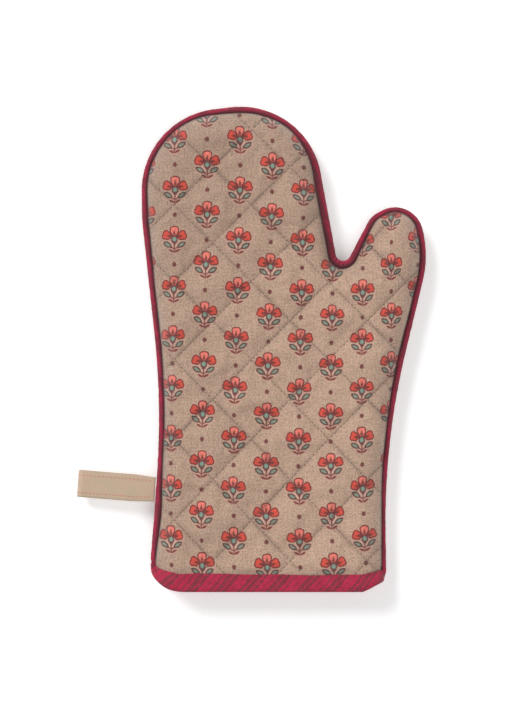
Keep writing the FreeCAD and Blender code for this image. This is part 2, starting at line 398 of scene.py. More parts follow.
def carried_by(piece, body):
    """Puts a piece on the hand, or bakes the place of a piece of the fingers or the thumb into its mesh."""
    if body == "hand":
        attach(piece, "hand")
    elif body == "fingers":
        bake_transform(piece)
        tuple(finger_start)
        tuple(finger_end)
    else:
        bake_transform(piece)
        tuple(thumb_start)
        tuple(thumb_end)


def cut_across(bm, place, way, near):
    """Divides the mesh along a plane at right angles to that way."""
    everything = bm.verts[:] + bm.edges[:] + bm.faces[:]
    bmesh.ops.bisect_plane(bm, geom=everything, dist=near, plane_co=place, plane_no=way)


def cut_at_regions(bm):
    """Divides the mesh at the regions' edges and gives its faces their region."""
    cut_across(bm, finger_start, finger_way, 0.05 * mm)
    cut_across(bm, thumb_start, thumb_way, 0.05 * mm)
    for face in bm.faces:
        middle = face.calc_center_median()
        face.material_index = region_at(middle.x, middle.y)


def read(rows, what, width=3):
    """One value of every row, such as its place, as an array."""
    values = np.zeros(len(rows) * width, np.float32)
    rows.foreach_get(what, values)
    return values.reshape(-1, width)


def made_of(bm, name, look):
    """The bmesh as a smooth object with that finish."""
    mesh = mesh_of(bm, name)
    mesh.shade_smooth()
    mesh.materials.append(look)
    return shown(mesh, name)


def pieces_of(whole, name, look, padded_side=0):
    """Each region's part of a whole piece, as an object of that body. A side gives it wadding. The cuts
    don't show, because each part keeps the normals of the whole."""
    whole.update()
    note = whole.attributes.new("whole_normal", "FLOAT_VECTOR", "POINT")
    note.data.foreach_set("vector", read(whole.vertex_normals, "vector").ravel())
    for number, body in enumerate(regions):
        bm = bmesh.new()
        bm.from_mesh(whole)
        outside = [face for face in bm.faces if face.material_index != number]
        bmesh.ops.delete(bm, geom=outside, context="FACES")
        for face in bm.faces:
            face.material_index = 0
        if padded_side:
            add_wadding(bm, padded_side)
        piece = made_of(bm, f"{body}_{name}", look)
        mesh = piece.data
        mesh.normals_split_custom_set_from_vertices(read(mesh.attributes["whole_normal"].data, "vector"))
        mesh.attributes.remove(mesh.attributes["whole_normal"])
        carried_by(piece, body)
        yield body, piece


def cloth_map(bm, name, place=lambda x, y: (x / mm, y / mm)):
    """Adds a UV map of that name, in mm: the flat cloth's own x and y, or place(x, y)."""
    layer = bm.loops.layers.uv.new(name)
    for face in bm.faces:
        for loop in face.loops:
            loop[layer].uv = place(loop.vert.co.x, loop.vert.co.y)


mouth_lift = 5.0 * mm
mouth_points = 80
merge_distance = 0.35 * mm


def cut_line(further_in, lift):
    """Every third point of the seam, or of a line further in, above the mouth."""
    line = [p - out * (inset + further_in) for p, out, inset in zip(outline, outwards, seam_insets)][::3]
    return [p for p in line if p.y > mouth_edge(p.x) + lift]


def flat_panel():
    """The panel as it is cut, in small squares along the quilting lines."""
    ring = cut_line(0, mouth_lift)
    left, right = ring[0].x, ring[-1].x
    for k in range(1, mouth_points):
        x = right + (left - right) * k / mouth_points
        ring.append(Vector((x, mouth_edge(x) + mouth_lift)))
    bm = bmesh.new()
    bm.faces.new([bm.verts.new((*lattice_of(p.x, p.y), 0)) for p in ring])
    bmesh.ops.recalc_face_normals(bm, faces=bm.faces)
    for slant in (1, -1):
        heights = [v.co.x + slant * v.co.y for v in bm.verts]
        first = math.ceil(min(heights) * steps_per_diamond / 2)
        last = math.floor(max(heights) * steps_per_diamond / 2)
        for k in range(first, last + 1):
            cut_across(bm, (2 * k / steps_per_diamond, 0, 0), (1, slant, 0), 1e-5)
    stitched = bm.verts.layers.float.new("stitched")
    for v in bm.verts:
        i, j = v.co.x, v.co.y
        on_line = any(abs(c / 2 - round(c / 2)) < 0.01 for c in (i + j, i - j))
        v[stitched] = 1.0 if on_line or v.is_boundary else 0.0
        v.co.x, v.co.y = place_of(i, j)
    bmesh.ops.remove_doubles(bm, verts=bm.verts, dist=merge_distance)
    cut_at_regions(bm)
    for face in bm.faces:
        if face.normal.z < 0:
            face.normal_flip()
    return bm


puff_height = 2.7 * mm
puff_fullness = 0.5
cloth_frames = 20
cloth_cap = 1.6 * mm
first_unevenness = 0.08 * mm
cloth_behaviour = {
    "vertex_group_mass": "held", "quality": 6, "mass": 0.02, "air_damping": 2, "tension_stiffness": 15,
    "compression_stiffness": 15, "shear_stiffness": 5, "bending_stiffness": 0.3, "shrink_min": -0.03,
    "use_pressure": True, "uniform_pressure_force": 0.05,
}


def puff_at(x, y):
    """How far the wadding lifts the cloth between the stitched lines."""
    i, j = lattice_of(x, y)
    inside = abs(math.sin(math.pi * (i + j) / 2) * math.sin(math.pi * (i - j) / 2))
    return puff_height * inside ** puff_fullness


def pucker(mesh, seed):
    """Lets the cloth between the stitched lines pucker, by a short simulation."""
    piece = shown(mesh, "pucker")
    held = piece.vertex_groups.new(name="held")
    marks = read(mesh.attributes["stitched"].data, "value", 1)[:, 0]
    held.add([int(n) for n in np.nonzero(marks > 0.5)[0]], 1.0, "REPLACE")
    before = read(mesh.vertices, "co")
    start = before.copy()
    start[:, 2] += np.random.default_rng(seed).normal(0, first_unevenness, len(start)) * (marks < 0.5)
    mesh.vertices.foreach_set("co", start.ravel())
    cloth = piece.modifiers.new("cloth", "CLOTH")
    for name, value in cloth_behaviour.items():
        setattr(cloth.settings, name, value)
    cloth.settings.effector_weights.gravity = 0
    cloth.collision_settings.use_collision = False
    for number in range(1, cloth_frames + 1):
        bpy.context.scene.frame_set(number)
    seen = piece.evaluated_get(bpy.context.evaluated_depsgraph_get())
    moved = read(seen.data.vertices, "co") - before
    length = np.linalg.norm(moved, axis=1, keepdims=True)
    moved *= np.minimum(1, cloth_cap / np.maximum(length, 1e-9))
    mesh.vertices.foreach_set("co", (before + moved).ravel())
    bpy.context.scene.frame_set(1)
    bpy.data.objects.remove(piece)


def subdivided(mesh):
    """The mesh with each face divided smoothly in four."""
    piece = shown(mesh, "subdivided")
    finer = piece.modifiers.new("finer", "SUBSURF")
    finer.levels = finer.render_levels = 1
    made = bpy.data.meshes.new_from_object(piece.evaluated_get(bpy.context.evaluated_depsgraph_get()))
    bpy.data.objects.remove(piece)
    return made


cushion_curve, cushion_round = 2.4, 0.8
crown_height = 10.2 * mm
crown_reach = 20 * mm
seam_squeeze = 0.4 * mm
hollow_inset = 4.5 * mm
hollow_height = 5.4 * mm
hollow_reach = 15 * mm
hollow_gap = 0.3 * mm
wadding_in_binding = 0.9 * mm
under_binding = 1.2 * mm
floor_clearance = 0.15 * mm
wave_height, waves_per_metre = 1.1 * mm, 28
ripple_height, ripples_along, ripples_inwards = 0.55 * mm, 190, 60

# Creases that the seam pulls into the cloth at the crotch and the thumb's root: from, to, width and depth,
# in mm. Each has a soft ridge along both its sides.
creases = [
    ((66.0, 51.5), (95.5, 43.0), 1.6, 1.4), ((62.5, 50.5), (66.5, 36.0), 1.4, 1.3),
    ((81.0, 11.5), (97.0, 2.5), 1.7, 1.1), ((58.0, 50.0), (47.0, 36.0), 1.5, 1.0),
]
ridge_share, ridge_place = 0.45, 1.8


def rise(inside, height, reach):
    """A cushion's profile: steep at its edge and level beyond its reach."""
    t = min(1, max(0, inside / reach))
    return height * (1 - (1 - t) ** cushion_curve) ** cushion_round


def creased(x, y):
    """How far the creases press the cloth in."""
    total = 0.0
    for start, end, width, depth in creases:
        along = Vector(end) * mm - Vector(start) * mm
        from_start = Vector((x, y)) - Vector(start) * mm
        t = from_start.dot(along) / along.length_squared
        if -0.3 < t < 1.3:
            off = abs(from_start.cross(along.normalized())) / (width * mm)
            strength = eased(t, -0.25, 0.1) * (1 - eased(t, 0.45, 1.2))
            ridge = ridge_share * math.exp(-(off - ridge_place) ** 2)
            total += depth * mm * strength * (math.exp(-off * off) - ridge)
    return total


def lie(mesh, side, seed):
    """Crowns a flat panel to its place, on the palm's side or the back's."""
    depths = np.zeros(len(mesh.vertices), np.float32)
    for v in mesh.vertices:
        x, y, puff = v.co
        inside, along = from_seam(x, y)
        depths[v.index] = inside / mm
        above_binding = y - mouth_edge(x) - binding_width
        quilted = eased(inside, 0, 4 * mm) * eased(above_binding, 0, 5 * mm)
        wave = noise.noise(Vector((x, y, seed * mm)) * waves_per_metre) * wave_height
        ripple = noise.noise(Vector((along * ripples_along, inside * ripples_inwards, seed)))
        height = seam_squeeze + rise(inside, crown_height, crown_reach) + puff * (0.1 + 0.9 * quilted)
        height += wave * eased(inside, 0, 18 * mm) * eased(above_binding, 0, 15 * mm)
        height += ripple * ripple_height * math.exp(-max(0, inside) / (5 * mm)) * eased(inside, 0, 1.5 * mm)
        if side > 0:
            height -= creased(x, y)
        height -= under_binding * (1 - eased(above_binding, -0.8 * mm, 0.4 * mm))
        v.co.z = max(seam_height + side * height, floor_clearance)
    mesh.attributes.new("inside_seam", "FLOAT", "POINT").data.foreach_set("value", depths)


def add_wadding(bm, side):
    """Gives a panel its wadding: an inner face round the hollow, joined at all its edges."""
    note = bm.verts.layers.float_vector["whole_normal"]
    for v in bmesh.ops.extrude_face_region(bm, geom=bm.faces[:])["geom"]:
        if isinstance(v, bmesh.types.BMVert):
            depth = rise(from_seam(v.co.x, v.co.y)[0] - hollow_inset, hollow_height, hollow_reach)
            squeezed = max(0, side * (v.co.z - seam_height) - hollow_gap - wadding_in_binding)
            in_binding = 1 - eased(v.co.y - mouth_edge(v.co.x), 10 * mm, 15 * mm)
            depth += (squeezed - depth) * in_binding
            v.co.z = seam_height + side * (hollow_gap + depth)
            v[note] = (0, 0, 0)
    bmesh.ops.recalc_face_normals(bm, faces=bm.faces)


def bumped(height, depth, **under):
    """A relief of that height, from 0 to 1, times depth, over any under it."""
    return height.node("Bump", {"Height": height, "Distance": depth, "Strength": 1.0} | under)


def printed_linen():
    """Natural slubby linen, block-printed with flower sprigs in half-drop rows and a dot between them."""
    look, start, shader = finish("printed_linen", roughness=0.9, sheen_weight=0.25, sheen_roughness=0.6)
    flat = start.node("UVMap", {}, uv_map="cloth")
    flat_x, flat_y = flat.coordinates()
    x, y = start.node("UVMap", {}, uv_map="print").coordinates()
    x += (flat.grain(1.3, 1.3, detail=1, shift=7.1) - 0.5) * 0.7
    y += (flat.grain(1.1, 1.1, detail=1, shift=31.7) - 0.5) * 0.7

    # The lattice of sprigs: columns a little wider apart towards the mouth, rows half-dropped.
    column_pitch, column_spread, column_lean = 21.0, 0.0046, 0.0125
    row_pitch, row_drop, row_tilt = 33.0, 16.4, 0.012
    first_across, first_up = -8.7, 71.2
    column_at = (x - first_across - (y - first_up) * column_lean) / (column_pitch - y * column_spread)
    column = column_at.math("ROUND", column_at)
    odd = column.math("FLOORED_MODULO", column, 2.0)
    row_at = (y + x * row_tilt - first_up - odd * row_drop) / row_pitch
    across = ((column_at - column) * column_pitch).size()
    up = row_at.past_whole() * row_pitch
    dot_up = (row_at - 0.5).past_whole() * row_pitch

    def oval(centre_x, centre_y, half_x, half_y):
        """Distance outside an oval, in mm, negative inside."""
        dx, dy = (across - centre_x) / half_x, (up - centre_y) / half_y
        return ((dx * dx + dy * dy).root() - 1) * min(half_x, half_y)

    def leaf(centre_x, centre_y, half_length, half_width, angle):
        """Distance outside a leaf that is pointed at both ends."""
        c, s = math.cos(math.radians(angle)), math.sin(math.radians(angle))
        dx, dy = across - centre_x, up - centre_y
        along, aside = dx * c + dy * s, (dy * c - dx * s).size()
        radius = (half_length ** 2 + half_width ** 2) / (2 * half_width)
        reach = aside + (radius - half_width)
        return (along * along + reach * reach).root() - radius

    def stroke(x1, y1, x2, y2, half_width):
        """Distance outside a straight stroke with round ends."""
        length_squared = (x2 - x1) ** 2 + (y2 - y1) ** 2
        dx, dy = across - x1, up - y1
        t = ((dx * (x2 - x1) + dy * (y2 - y1)) / length_squared).most(0.0).least(1.0)
        ex, ey = dx - t * (x2 - x1), dy - t * (y2 - y1)
        return (ex * ex + ey * ey).root() - half_width

    def mask(distance, soft=0.22):
        return distance.fade(soft, -soft)

    top_petal = oval(0.0, 6.0, 3.1, 3.2).least(oval(0.9, 6.7, 2.3, 2.3)).least(oval(0.0, 4.4, 2.3, 2.6))
    side_petal = oval(4.5, 2.5, 2.6, 3.0).least(oval(5.4, 4.0, 2.3, 2.4)).least(oval(6.3, 2.1, 2.1, 2.3))
    petal_edge, leaf_edge = 0.8, 0.95
    drop = oval(3.6, 2.3, 1.5, 0.9).least(oval(0.0, 4.0, 0.95, 1.2)).least(oval(0.0, 4.7, 0.65, 1.5))
    bud = oval(0.0, 0.15, 1.25, 1.5)
    bud_ring = oval(0.0, -0.25, 2.15, 2.5)
    calyx = oval(0.0, 0.2, 2.1, 2.4).least(oval(0.0, -2.2, 1.1, 1.3)).least(oval(2.1, 2.1, 1.2, 1.2))
    side_leaf = leaf(4.5, -3.4, 3.45, 1.8, 32)
    gleam = stroke(1.3, -4.2, 2.9, -1.7, 0.3)
    stem = stroke(0.0, -2.2, 0.0, -7.9, 0.38).least(stroke(0.0, -6.3, 2.4, -5.0, 0.36))
    foot = leaf(2.0, -7.5, 2.1, 0.75, 27)
    root = stroke(0.0, -8.6, 1.5, -8.1, 0.4)
    dot = (across * across + dot_up * dot_up * 0.8).root() - 1.4

    ink_dark, ink_red, ink_salmon = srgb(116, 42, 38), srgb(218, 76, 58), srgb(243, 128, 112)
    ink_green, ink_leaf, ink_leaf_edge = srgb(126, 154, 136), srgb(134, 148, 128), srgb(88, 60, 54)
    ink_drop, ink_pink, ink_gleam = srgb(104, 40, 32), srgb(205, 152, 136), srgb(228, 186, 174)
    ink_calyx, ink_ring, ink_dot = srgb(104, 46, 48), srgb(104, 52, 52), srgb(104, 42, 38)
    grey_linen, pink_linen = srgb(168, 148, 121), srgb(188, 144, 132)
    pale_slub, dark_fleck = srgb(205, 184, 162), srgb(120, 96, 80)

    # The bare cloth: thick and thin yarns both ways, with darker and paler slubs in them. Painted shade
    # makes it a little darker towards the fingertips and on the little finger's side, and lighter on the
    # thumb's side.
    yarn_up = flat.grain(1.0, 0.10, detail=3, rough=0.6)
    yarn_across = flat.grain(0.10, 1.0, detail=3, rough=0.6, shift=11.0)
    speckle = flat.grain(0.95, 0.95, detail=3, rough=0.6, shift=3.0)
    patches = flat.grain(0.035, 0.035, detail=2, shift=5.0)
    slubby = (yarn_up.fade(0.32, 0.68) + yarn_across.fade(0.32, 0.68)) * 0.7
    slubby += speckle.fade(0.34, 0.66) * 3.0
    light = 0.71 + slubby * 0.16 + patches * 0.06
    # Painted shade: darker towards the fingertips and the little finger's side, lighter towards the thumb.
    light = light * (1.02 - flat_y.fade(0, 150) * 0.12) * (0.91 + flat_x.fade(-70, 60) * 0.14)
    warmth = flat.grain(0.9, 0.9, detail=3, rough=0.7, shift=17.0).fade(0.35, 0.7)
    slub = (yarn_up.fade(0.63, 0.75) + yarn_across.fade(0.63, 0.75)).least(1.0) * 0.35
    colour = slub.over(light.tint(warmth.over(grey_linen, pink_linen)), pale_slub)
    colour = (speckle.fade(0.66, 0.74) * 0.35).over(colour, dark_fleck)

    # The print, in the order in which its blocks go on: each shape's mask, and its ink.
    uneven = flat.grain(0.8, 0.8, detail=2, shift=23.0).fade(0.25, 0.7) * 0.3 + 0.7
    halo = mask(side_petal.least(stem).least(foot).least(side_leaf) - 0.8, 0.5) * 0.4
    for part, ink in (
        (halo, ink_pink),
        (mask(gleam, 0.4) * 0.55, ink_gleam),
        (mask(calyx, 0.3), ink_calyx),
        (mask(side_leaf), ink_leaf_edge),
        (mask(side_leaf + leaf_edge) * uneven, ink_leaf),
        (mask(side_petal), ink_dark),
        (mask(side_petal + petal_edge) * uneven, ink_red),
        (mask(top_petal), ink_dark),
        (mask(top_petal + petal_edge) * uneven, ink_salmon),
        (mask(drop, 0.4) * 0.9, ink_drop),
        (mask(stem.least(foot), 0.3) * 0.95, ink_dark),
        (mask(root, 0.35) * 0.6, ink_dark),
        (mask(bud_ring, 0.3) * 0.9, ink_ring),
        (mask(bud, 0.3), ink_green),
        (mask(dot, 0.35) * (uneven * 0.4 + 0.6), ink_dot),
    ):
        colour = part.over(colour, ink)

    # The quilting thread presses a crease in. Painted shade darkens the cloth there and where it goes into
    # the seam.
    wide, high, stretch = diamond_width / mm, diamond_height / mm, diamond_stretch / mm
    columns = flat_x / wide
    rows = (high - (high ** 2 - (flat_y - lattice_up / mm) * (4 * stretch)).root()) / (2 * stretch)
    rising, falling = (count.past_whole().size() for count in ((columns + rows) / 2, (columns - rows) / 2))
    gap = 2 * wide * high / math.hypot(wide, high)
    to_line = rising.least(falling) * gap + (speckle - 0.5) * 0.5
    crease = to_line.fade(1.2, 0.0)
    hollow = to_line.fade(3.6, 0.0)
    # Painted shade in the creases, stronger in some places than in others.
    crease_shade_strength = flat.grain(0.03, 0.03, detail=1, shift=41.0).fade(0.4, 0.6) + 0.35
    note = {"attribute_type": "GEOMETRY", "attribute_name": "inside_seam"}
    inside_seam = start.node("Attribute", {}, output=2, **note)
    # Painted shade: the cloth darkens steeply in its last 2 mm before the seam and a little over its last
    # 16 mm.
    painted_seam_shade = 0.1 + inside_seam.fade(0.2, 1.7) * 0.78 + inside_seam.fade(0, 16) * 0.12
    colour = ((1 - (crease * 0.08 + hollow * 0.11) * crease_shade_strength) * painted_seam_shade).tint(colour)

    # The yarns' relief: a plain weave with thick places.
    yarn_pitch = 0.9
    relief = flat_x.wave(1 / yarn_pitch) * flat_y.wave(1 / yarn_pitch) * 0.25 + yarn_up + yarn_across
    weave = bumped(relief + speckle * 0.6, 0.3 * mm)
    connect(shader, base_color=colour, normal=bumped(crease, -0.32 * mm, Normal=weave))
    return look


# The cloth was stamped and sewn a little askew. These are the mm by which the print is off, across and up,
# for 1, x, y, xx, xy, yy, xxx, xxy, xyy and yyy, with x and y in tenths of a metre.
askew_across = (-0.61, 0.44, 1.71, 0.13, 1.82, 0.42, -5.17, -3.02, 0.73, -0.75)
askew_up = (0.29, -2.46, -1.36, 0.63, -0.43, -0.05, 4.55, -2.1, 0.62, 0.51)


def print_place(x, y, side):
    """Where on the straight print a place of that side is, in mm."""
    p, q = x * 10, y * 10
    powers = (1, p, q, p * p, p * q, q * q, p ** 3, p * p * q, p * q * q, q ** 3)
    off_across, off_up = (sum(a * b for a, b in zip(askew, powers)) for askew in (askew_across, askew_up))
    return (x / mm - off_across) * side, y / mm - off_up


linen = printed_linen()
flat_bm = flat_panel()
panels = {}
for side_name, side, seed in (("palm", 1, 3), ("back", -1, 8)):
    panel_bm = flat_bm.copy()
    cloth_map(panel_bm, "cloth")
    cloth_map(panel_bm, "print", lambda x, y: print_place(x, y, side))
    for v in panel_bm.verts:
        v.co.z = puff_at(v.co.x, v.co.y)
    whole = mesh_of(panel_bm, f"{side_name}_panel")
    pucker(whole, seed)
    whole = subdivided(whole)
    lie(whole, side, seed)
    if side < 0:
        whole.flip_normals()
    panels[side_name] = whole
    for body, piece in pieces_of(whole, f"{side_name}_panel", linen, padded_side=side):
        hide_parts(f"{body}_{side_name}_outer_cloth", f"{body}_{side_name}_wadding")
flat_bm.free()


# ---- The lining ----
# Two panels of plain natural cotton, cut like the outer ones and quilted with them. Inside, they make the
# smooth pocket that the hand goes into, and their seam is a little inside the outer one.

lining_inset = 5.2 * mm
lining_gap = 0.15 * mm
lining_height = 5.0 * mm
lining_reach = 13 * mm
lining_step = 4.0 * mm
lining_lift = 11.0 * mm
lining_puff = 0.35


def natural_cotton():
    """Plain unbleached cotton in a close even weave."""
    look, start, shader = finish("natural_cotton", roughness=0.92, sheen_weight=0.2, sheen_roughness=0.6)
    flat = start.node("UVMap", {}, uv_map="cloth")
    yarns = flat.grain(2.2, 0.15, detail=3) + flat.grain(0.15, 2.2, detail=3, shift=9.0)
    colour = (0.80 + yarns * 0.2).tint(srgb(226, 217, 200))
    connect(shader, base_color=colour, normal=bumped(yarns, 0.15 * mm))
    return look


cotton = natural_cotton()
for side_name, side in (("palm", 1), ("back", -1)):
    lining_bm = bmesh.new()
    lining_bm.faces.new([lining_bm.verts.new((p.x, p.y, 0)) for p in cut_line(lining_inset, lining_lift)])
    for axis, way in enumerate((Vector((1, 0, 0)), Vector((0, 1, 0)))):
        first = min(v.co[axis] for v in lining_bm.verts)
        last = max(v.co[axis] for v in lining_bm.verts)
        for k in range(1, math.floor((last - first) / lining_step) + 1):
            cut_across(lining_bm, way * (first + k * lining_step), way, 1e-6)
    bmesh.ops.remove_doubles(lining_bm, verts=lining_bm.verts, dist=merge_distance)
    cut_at_regions(lining_bm)
    for face in lining_bm.faces:
        if (face.normal.z > 0) == (side > 0):
            face.normal_flip()
    cloth_map(lining_bm, "cloth")
    whole = subdivided(mesh_of(lining_bm, f"{side_name}_lining"))
    for v in whole.vertices:
        inside, _ = from_seam(v.co.x, v.co.y)
        depth = rise(inside - lining_inset, lining_height, lining_reach)
        quilted = eased(inside, 12 * mm, 20 * mm) * eased(v.co.y - mouth_edge(v.co.x), 14 * mm, 22 * mm)
        depth -= lining_puff * puff_at(v.co.x, v.co.y) * quilted
        v.co.z = seam_height + side * (lining_gap + max(0, depth))
    for body, piece in pieces_of(whole, f"{side_name}_lining_cloth", cotton):
        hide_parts(f"{body}_{side_name}_lining")


# ---- The piping ----
# One bias strip of striped crimson cotton, folded lengthwise and caught in the seam between the panels. Its
# fold stands out all round, narrow along the little finger and wider where it leans up against the palm in
# the crotch and round the thumb. It gathers into small folds at the crotch, where the seam turns sharply.

piping_sides = 20
piping_step = 0.5 * mm
piping_half_thickness = 1.25 * mm
piping_round = 11 * mm
piping_lift = 2 * mm
tucked_length, tucked_depth = 7 * mm, 1.6 * mm
roll_overlap = 0.35 * mm
gather_height, gather_spread, gather_pitch = 0.6 * mm, 5.0 * mm, 2.1 * mm
crumple_height, crumples_along, crumples_round = 0.22 * mm, 260, 3


def bent_grid(across, along, place, width, length):
    """A sheet of that many faces, put by place(u, v), and mapped as it lies flat."""
    bm = bmesh.new()
    bmesh.ops.create_grid(bm, x_segments=across, y_segments=along, size=0.5)
    cloth_map(bm, "cloth", lambda x, y: ((x + 0.5) * width / mm, (y + 0.5) * length / mm))
    for v in bm.verts:
        v.co = place(v.co.x + 0.5, v.co.y + 0.5)
    bmesh.ops.remove_doubles(bm, verts=bm.verts, dist=0.01 * mm)
    bm.normal_update()
    return bm


def striped_crimson(name, stripe_pitch, slant, dark_share, rolled=False):
    """Crimson cotton with dark woven stripes. Rolled, painted shade darkens it towards the seam."""
    look, start, shader = finish(name, roughness=0.85, sheen_weight=0.06, sheen_roughness=0.5)
    crimson, dark_stripe = srgb(180, 26, 66), srgb(112, 40, 50)
    pale_yarn, dark_yarn = srgb(190, 40, 78), srgb(92, 26, 40)
    flat = start.node("UVMap", {}, uv_map="cloth")
    x, y = flat.coordinates()
    wobble = (flat.grain(0.25, 0.25, detail=2, shift=4.0) - 0.5) * 1.6
    across_stripe = x * math.cos(slant) + y * math.sin(slant) + wobble
    along_stripe = y * math.cos(slant) - x * math.sin(slant)
    broad, narrow = across_stripe.wave(1 / stripe_pitch), across_stripe.wave(3.8 / stripe_pitch)
    stripe = (broad * 0.6 + narrow * 0.7).fade(-dark_share, dark_share + 0.2)
    both = start.node("CombineXYZ", {"X": across_stripe, "Y": along_stripe})
    yarns = both.grain(0.35, 1.6, detail=3, rough=0.7)
    twill = both.grain(1.5, 0.4, detail=3, rough=0.7, shift=13.0)
    colour = stripe.over(crimson, dark_stripe)
    colour = (yarns.fade(0.42, 0.62) * 0.45).over(colour, pale_yarn)
    colour = (twill.fade(0.45, 0.65) * 0.45).over(colour, dark_yarn)
    wear = flat.grain(0.15, 0.15, detail=3, shift=2.0)
    colour = (0.7 + wear * 0.6).tint(colour)
    # Painted shade: the piping's colour darkens round its inner side, where it turns into the seam.
    if rolled:
        round_mm = piping_round / mm
        colour = (0.22 + (x + round_mm / 4).wave(1 / round_mm).fade(-1.0, 0.5) * 0.62).tint(colour)
    relief = yarns * 0.6 + twill + (x + y).wave(1 / 0.8) * 0.12
    connect(shader, base_color=colour, normal=bumped(relief, 0.2 * mm))
    return look


piping_line = [(p, out) for p, out in zip(outline, outwards) if p.y > mouth_edge(p.x) + piping_lift]
piping_length = len(piping_line) * outline_step
crotch_at = min(range(len(piping_line)), key=lambda n: (piping_line[n][0] - crotch.xy).length)
crotch_along = crotch_at * outline_step


def piping_place(u, v):
    """A point of the rolled strip: u round it, v along the seam."""
    along = v * (piping_length - outline_step)
    number = min(len(piping_line) - 2, int(along / outline_step))
    part = along / outline_step - number
    (p, out), (next_p, next_out) = piping_line[number], piping_line[number + 1]
    point, out = p.lerp(next_p, part), out.lerp(next_out, part).normalized()
    width = piping_width_at(point)
    lean = max(0.0, width - piping_narrow) * 1.5
    tilt = math.atan2(lean, width)
    outer, upper = math.cos(2 * math.pi * u), math.sin(2 * math.pi * u)
    gathers = gather_height * math.exp(-((along - crotch_along) / gather_spread) ** 2)
    fold = gathers * math.sin(2 * math.pi * along / gather_pitch) * (0.4 + 0.6 * abs(upper))
    crumple = noise.noise(Vector((along * crumples_along, u * crumples_round, 5.0))) * crumple_height
    reach = outer * (width / 2 + roll_overlap + crumple)
    thick = upper * (piping_half_thickness * (1 - 0.25 * outer) + fold + crumple)
    from_end = min(along, piping_length - along)
    inset = width / 2 - 0.1 * mm + tucked_depth * (1 - eased(from_end, 0, tucked_length))
    aside = reach * math.cos(tilt) + thick * math.sin(tilt) - inset
    height = thick * math.cos(tilt) - reach * math.sin(tilt) + lean / 2
    place = point + out * aside
    return Vector((place.x, place.y, seam_height + height))


piping_cloth = striped_crimson("piping_crimson", 5.2, math.radians(14), 0.35, rolled=True)
piping_count = round(piping_length / piping_step)
piping_bm = bent_grid(piping_sides, piping_count, piping_place, piping_round, piping_length)
bmesh.ops.recalc_face_normals(piping_bm, faces=piping_bm.faces)
cut_at_regions(piping_bm)
for body, piece in pieces_of(mesh_of(piping_bm, "piping"), "piping_roll", piping_cloth):
    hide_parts(f"{body}_piping")


# ---- The cuff binding ----
# One wide bias strip of the same striped cotton. It is folded over the raw edges of all the layers, round
# the whole mouth, and stitched down near its upper edge.

binding_rounds = 240
binding_rows = 34
fold_radius = 3.1 * mm
binding_lift = 0.35 * mm
binding_thickness = 0.6 * mm
inner_leg = 9.0 * mm
outer_leg = binding_width - fold_radius
fold_length = math.pi * fold_radius
profile_length = outer_leg + fold_length + inner_leg
flare = 0.9 * mm
ring_points, ring_span, ring_rounding = 1500, 0.8 * mm, 14 * mm
soft_height, softness_round, softness_along = 0.35 * mm, 75, 120
stitch_row, stitch_pinch, pinch_width = 1.1 * mm, 0.55 * mm, 0.8 * mm
tuck_depth, tuck_width = 0.5 * mm, 0.6 * mm
edge_wave, edge_waves = 0.8 * mm, 40
left_rise, left_rise_from, left_rise_to = 1.3 * mm, 25 * mm, -50 * mm
hugging_width, least_height = 6 * mm, 1.5 * mm

# Points round the mouth, seen along the hand, over the palm and back below, and the way round to each.
over = []
for x in mouth.x - mouth_half_width * np.cos(np.linspace(0, math.pi, ring_points)):
    t = min(1.0, (mouth_half_width - abs(x - mouth.x)) / ring_rounding)
    height = (crown_height + seam_squeeze + binding_lift) * math.sqrt(1 - (1 - t) ** 2.6)
    over.append((x, seam_height + height))
below = [(x, 2 * seam_height - z) for x, z in reversed(over[1:-1])]
mouth_ring = np.array(over + below + over[:1])
ring_steps = np.linalg.norm(np.diff(mouth_ring, axis=0), axis=1)
mouth_lengths = np.concatenate([[0], np.cumsum(ring_steps)])
mouth_round = mouth_lengths[-1]


def on_ring(u):
    """The mouth's point at that share of the way round, and the way out there."""

    def at(run):
        return [np.interp(run % mouth_round, mouth_lengths, mouth_ring[:, k]) for k in (0, 1)]

    run = (u % 1) * mouth_round
    (x, z), ahead, behind = at(run), at(run + ring_span), at(run - ring_span)
    way = Vector((ahead[0] - behind[0], ahead[1] - behind[1])).normalized()
    return x, z, Vector((-way.y, way.x))


def binding_place(u, v):
    """A point of the strip: u round the mouth, v from its outer edge to its inner."""
    x, z, out = on_ring(u)
    run = v * profile_length
    if run < outer_leg:
        inwards, up = 0.0, binding_width - run
    elif run < outer_leg + fold_length:
        angle = (run - outer_leg) / fold_radius
        inwards, up = fold_radius * (1 - math.cos(angle)), fold_radius * (1 - math.sin(angle))
    else:
        inwards, up = 2 * fold_radius, fold_radius + run - outer_leg - fold_length
    raised = (mouth_edge(x) - mouth.y) * (0.55 + 0.45 * (1 - min(1, up / binding_width)))
    soft = noise.noise(Vector((u * mouth_round * softness_round, run * softness_along, 1.0))) * soft_height
    pinch = stitch_pinch * math.exp(-((run - stitch_row) / pinch_width) ** 2) if run < outer_leg else 0.0
    tuck = tuck_depth * (1 - eased(run, 0, tuck_width))
    inwards += pinch + tuck - soft - flare * abs(out.x) ** 3
    wavy = noise.noise(Vector((u * mouth_round * edge_waves, 3.0, 2.0))) * edge_wave
    wavy += left_rise * (1 - eased(x, left_rise_to, left_rise_from))
    up += wavy * eased(up, 0, binding_width)
    x, y, z = x - out.x * inwards, mouth.y + raised + up, z - out.y * inwards
    panel_height = seam_squeeze + rise(from_seam(x, y)[0], crown_height, crown_reach) + binding_lift
    on_panel = seam_height + math.copysign(max(least_height, panel_height), out.y)
    z += (1 - eased(run, 0, hugging_width)) * (on_panel - z) * min(1, 3 * abs(out.y))
    return Vector((x, y, max(z, floor_clearance)))


def made_of_cloth(bm, name, look, thickness, offset):
    """The bmesh as an object of cloth of that thickness."""
    piece = made_of(bm, name, look)
    cloth = piece.modifiers.new("cloth", "SOLIDIFY")
    cloth.thickness = thickness
    cloth.offset = offset
    return piece


